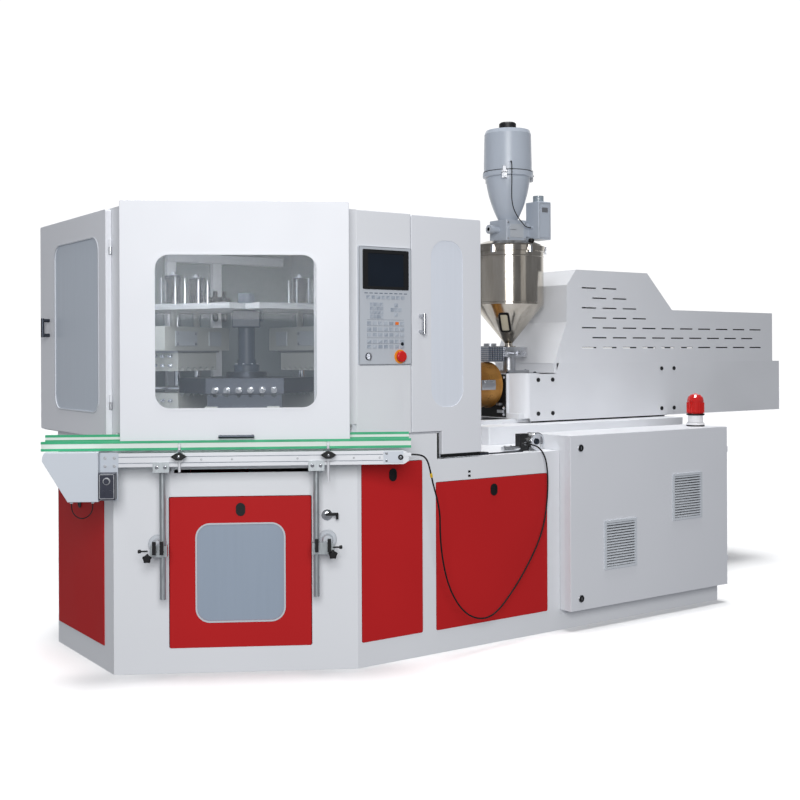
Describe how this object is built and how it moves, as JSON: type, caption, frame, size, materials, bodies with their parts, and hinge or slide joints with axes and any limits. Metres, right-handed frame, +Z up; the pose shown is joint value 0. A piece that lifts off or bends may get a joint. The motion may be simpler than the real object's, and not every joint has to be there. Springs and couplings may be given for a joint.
{
  "type": "injection blow moulding machine",
  "caption": "Rotary injection blow moulding machine with a guarded mould press, take-off conveyor, control station, barrel with hopper and loader, and a vented injection unit.",
  "frame": {"origin": "on the floor, under the axis of the indexing head", "axes": "+X runs along the machine from the moulds to the injection unit, -Y is the operator's long side, +Z is up"},
  "size_m": [5.4799, 2.1935, 2.958],
  "materials": {
    "panel_white": "satin",
    "panel_red": "satin",
    "window_blue": "smooth",
    "window_pale": "frosted",
    "black_plastic": "matte",
    "door_grey": "satin",
    "panel_body": "satin",
    "screen": "glossy",
    "keys": "matte",
    "estop_red": "gloss",
    "beacon_red": "translucent",
    "zinc": "zinc",
    "machine_grey": "satin",
    "mould_steel": "ground",
    "chrome": "polished",
    "head_dark": "machined",
    "aluminium": "anodised",
    "belt_green": "matte",
    "rail_green": "satin",
    "cover_grey": "satin",
    "navy": "satin",
    "stainless": "polished",
    "heater_orange": "heat tinted",
    "cast_grey": "satin",
    "cable_black": "matte"
  },
  "bodies": {
    "machine_frame": {"base_cabinet": "panel_white", "strip_base_door": "panel_red", "strip_base_window": "window_blue", "access_panels": "panel_red", "panel_latches": "black_plastic", "electrical_cabinet": "panel_white", "beacon": "beacon_red", "enclosure_frame": "panel_white", "door_hinges": "zinc", "control_cover": "panel_white", "control_panel": "panel_body", "control_screen": "screen", "control_keys": "keys", "press_bed": "machine_grey", "lower_moulds": "mould_steel", "press_columns": "chrome", "press_head": "machine_grey", "conveyor_frame": "aluminium", "conveyor_belt": "belt_green", "guide_rails": "rail_green", "conveyor_drive_cover": "cover_grey", "conveyor_control_box": "navy", "conveyor_posts": "aluminium", "clamp_knobs": "black_plastic", "slide_base": "cast_grey", "work_lamp": "chrome", "conveyor_cable": "cable_black", "drive_cable": "cable_black"},
    "cabinet_leaf": {"cabinet_door": "panel_white"},
    "left_leaf": {"left_door": "door_grey", "left_door_window": "window_blue", "left_door_handle": "black_plastic"},
    "lifting_leaf": {"strip_door": "door_grey", "strip_door_window": "window_blue", "strip_door_handle": "black_plastic"},
    "right_leaf": {"right_door": "door_grey", "right_door_window": "window_pale", "right_door_handle": "black_plastic"},
    "estop": {"estop_button": "estop_red"},
    "selector": {"mode_selector": "black_plastic"},
    "injection_press": {"injection_clamp": "mould_steel"},
    "blow_press": {"blow_clamp": "mould_steel"},
    "lift_column": {"index_column": "chrome"},
    "turret": {"turret_head": "head_dark", "core_rods": "chrome"},
    "strip_comb": {"stripper": "mould_steel"},
    "drive_drum": {"drive_roller": "zinc"},
    "idler_drum": {"idler_roller": "zinc"},
    "carriage": {"injection_carriage": "cast_grey", "injection_barrel": "zinc", "heater_cover": "heater_orange", "hopper_throat": "cast_grey", "hopper": "stainless", "loader_body": "cover_grey", "loader_control_box": "cover_grey", "side_skirt": "panel_white", "vent_cover": "panel_white", "loader_cable": "cable_black"},
    "screw": {"injection_screw": "chrome"},
    "feed_gate": {"shutoff_slide": "zinc"}
  },
  "joints": [
    {"name": "left_door_swing", "type": "hinge", "parent": "machine_frame", "child": "left_leaf", "pos_m": [-0.92, -0.383, 1.6], "axis": [0, 0, 1], "range_deg": [0, 64]},
    {"name": "strip_door_lift", "type": "slide", "parent": "machine_frame", "child": "lifting_leaf", "axis": [0, 0, 1], "range_m": [0, 0.85]},
    {"name": "right_door_swing", "type": "hinge", "parent": "machine_frame", "child": "right_leaf", "pos_m": [0.857, -0.931, 1.6], "axis": [0, 0, 1], "range_deg": [0, 110]},
    {"name": "cabinet_door_swing", "type": "hinge", "parent": "machine_frame", "child": "cabinet_leaf", "pos_m": [2.699, -0.9933, 0.58], "axis": [0, 0, 1], "range_deg": [0, 120]},
    {"name": "estop_push", "type": "slide", "parent": "machine_frame", "child": "estop", "axis": [0, 1, 0], "range_m": [0, 0.006], "stiffness_N_per_m": 600, "springref_m": -0.002},
    {"name": "mode_turn", "type": "hinge", "parent": "machine_frame", "child": "selector", "pos_m": [0.142, -0.96, 1.486], "axis": [0, -1, 0], "range_deg": [-45, 45]},
    {"name": "drive_roller_turn", "type": "hinge", "parent": "machine_frame", "child": "drive_drum", "pos_m": [-1.09856, -0.38996, 1.015], "axis": [-0.5, -0.866, 0], "continuous": true},
    {"name": "idler_roller_turn", "type": "hinge", "parent": "machine_frame", "child": "idler_drum", "pos_m": [0.2048, -1.14246, 1.015], "axis": [-0.5, -0.866, 0], "continuous": true},
    {"name": "injection_clamp_close", "type": "slide", "parent": "machine_frame", "child": "injection_press", "axis": [0, 0, -1], "range_m": [0, 0.12]},
    {"name": "blow_clamp_close", "type": "slide", "parent": "machine_frame", "child": "blow_press", "axis": [0, 0, -1], "range_m": [0, 0.12]},
    {"name": "head_lift", "type": "slide", "parent": "machine_frame", "child": "lift_column", "axis": [0, 0, -1], "range_m": [0, 0.025]},
    {"name": "head_index", "type": "hinge", "parent": "lift_column", "child": "turret", "pos_m": [0, 0, 1.315], "axis": [0, 0, 1], "range_deg": [0, 360]},
    {"name": "strip_stroke", "type": "slide", "parent": "machine_frame", "child": "strip_comb", "axis": [-0.5, -0.866, 0], "range_m": [0, 0.26]},
    {"name": "carriage_slide", "type": "slide", "parent": "machine_frame", "child": "carriage", "axis": [1, 0, 0], "range_m": [0, 0.15]},
    {"name": "screw_turn", "type": "hinge", "parent": "carriage", "child": "screw", "pos_m": [1.5, 0, 1.303], "axis": [1, 0, 0], "continuous": true},
    {"name": "gate_slide", "type": "slide", "parent": "carriage", "child": "feed_gate", "axis": [0, -1, 0], "range_m": [0, 0.06]}
  ],
  "couplings": [
    {"joint": "idler_roller_turn", "follows": "drive_roller_turn", "ratio": 1},
    {"joint": "blow_clamp_close", "follows": "injection_clamp_close", "ratio": 1},
    {"joint": "head_lift", "follows": "injection_clamp_close", "ratio": 0.20833}
  ]
}
